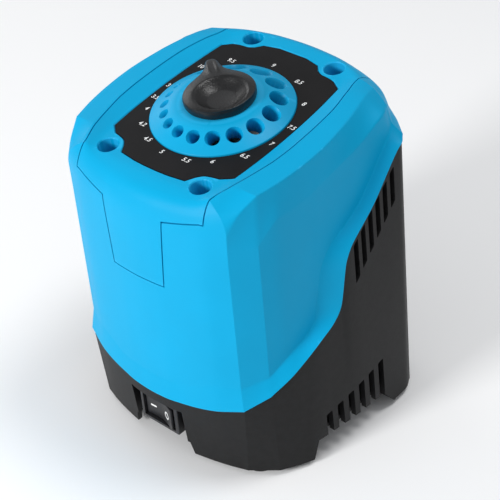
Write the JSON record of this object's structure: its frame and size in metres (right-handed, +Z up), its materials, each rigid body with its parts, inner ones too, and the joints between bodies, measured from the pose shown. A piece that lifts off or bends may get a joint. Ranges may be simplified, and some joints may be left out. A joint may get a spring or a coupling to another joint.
{
  "type": "drill bit sharpener",
  "caption": "Bench drill bit sharpener: flared moulded casing with side vents, a tilted dial with a domed guide head full of drill holes, and a dished knob.",
  "frame": {"origin": "on the floor, under the middle of the bounding box", "axes": "+Z up, -Y is the front with the switch, +X is the right-hand side seen from the front"},
  "size_m": [0.1406, 0.128, 0.1699],
  "materials": {
    "blue_shell": "satin moulded plastic with a fine grain",
    "blue_head": "satin moulded plastic",
    "black_housing": "fine textured moulded plastic",
    "black_knob": "semi-gloss moulded plastic",
    "black_switch": "semi-gloss moulded plastic with white marks",
    "printed_label": "satin printed film with white figures",
    "rubber": "soft matt rubber",
    "steel": "turned and ground steel",
    "dark_steel": "blackened steel",
    "zinc_steel": "zinc plated sheet steel",
    "aluminium": "die-cast or drawn aluminium",
    "lamination": "stacked steel laminations",
    "copper": "enamelled copper wire",
    "abrasive": "bonded abrasive grit",
    "nylon": "natural nylon"
  },
  "bodies": {
    "casing": {"base_housing": "black_housing", "body_shell": "blue_shell", "top_cover": "blue_shell", "bottom_plate": "black_housing", "dial_label": "printed_label", "chamber_tray": "black_housing", "bearing_upper": "steel", "bearing_lower": "steel", "bracket_upper": "aluminium", "bracket_lower": "aluminium", "stator_core": "lamination", "stator_winding": "copper", "switch_body": "black_switch", "cord_gland": "rubber", "terminal_block": "nylon", "run_capacitor": "aluminium", "motor_bolt_1": "steel", "motor_bolt_2": "steel", "motor_bolt_3": "steel", "motor_bolt_4": "steel", "foot_front_left": "rubber", "foot_rear_left": "rubber", "cover_screw_front_left": "dark_steel", "cover_screw_rear_left": "dark_steel", "plate_screw_front_left": "steel", "plate_screw_rear_left": "steel", "foot_front_right": "rubber", "foot_rear_right": "rubber", "cover_screw_front_right": "dark_steel", "cover_screw_rear_right": "dark_steel", "plate_screw_front_right": "steel", "plate_screw_rear_right": "steel"},
    "swing_head": {"guide_head": "blue_head", "grip_knob": "black_knob", "knob_screw": "steel", "head_retainer": "zinc_steel", "retainer_screw_1": "steel", "retainer_screw_2": "steel", "retainer_screw_3": "steel"},
    "rotor": {"grinding_wheel": "abrasive", "wheel_flange": "aluminium", "wheel_nut": "steel", "motor_shaft": "steel", "rotor_core": "lamination", "cooling_fan": "nylon"},
    "rocker": {"switch_rocker": "black_switch"}
  },
  "joints": [
    {"name": "head_swing", "type": "hinge", "parent": "casing", "child": "swing_head", "pos_m": [0, 0, 0.1557], "axis": [0, -0.1219, 0.9925], "range_deg": [-25, 25]},
    {"name": "rotor_spin", "type": "hinge", "parent": "casing", "child": "rotor", "pos_m": [0, 0, 0.1557], "axis": [0, -0.1219, 0.9925], "continuous": true},
    {"name": "rocker_tilt", "type": "hinge", "parent": "casing", "child": "rocker", "pos_m": [0, -0.058, 0.0205], "axis": [0, 0, 1], "range_deg": [0, 16]}
  ]
}
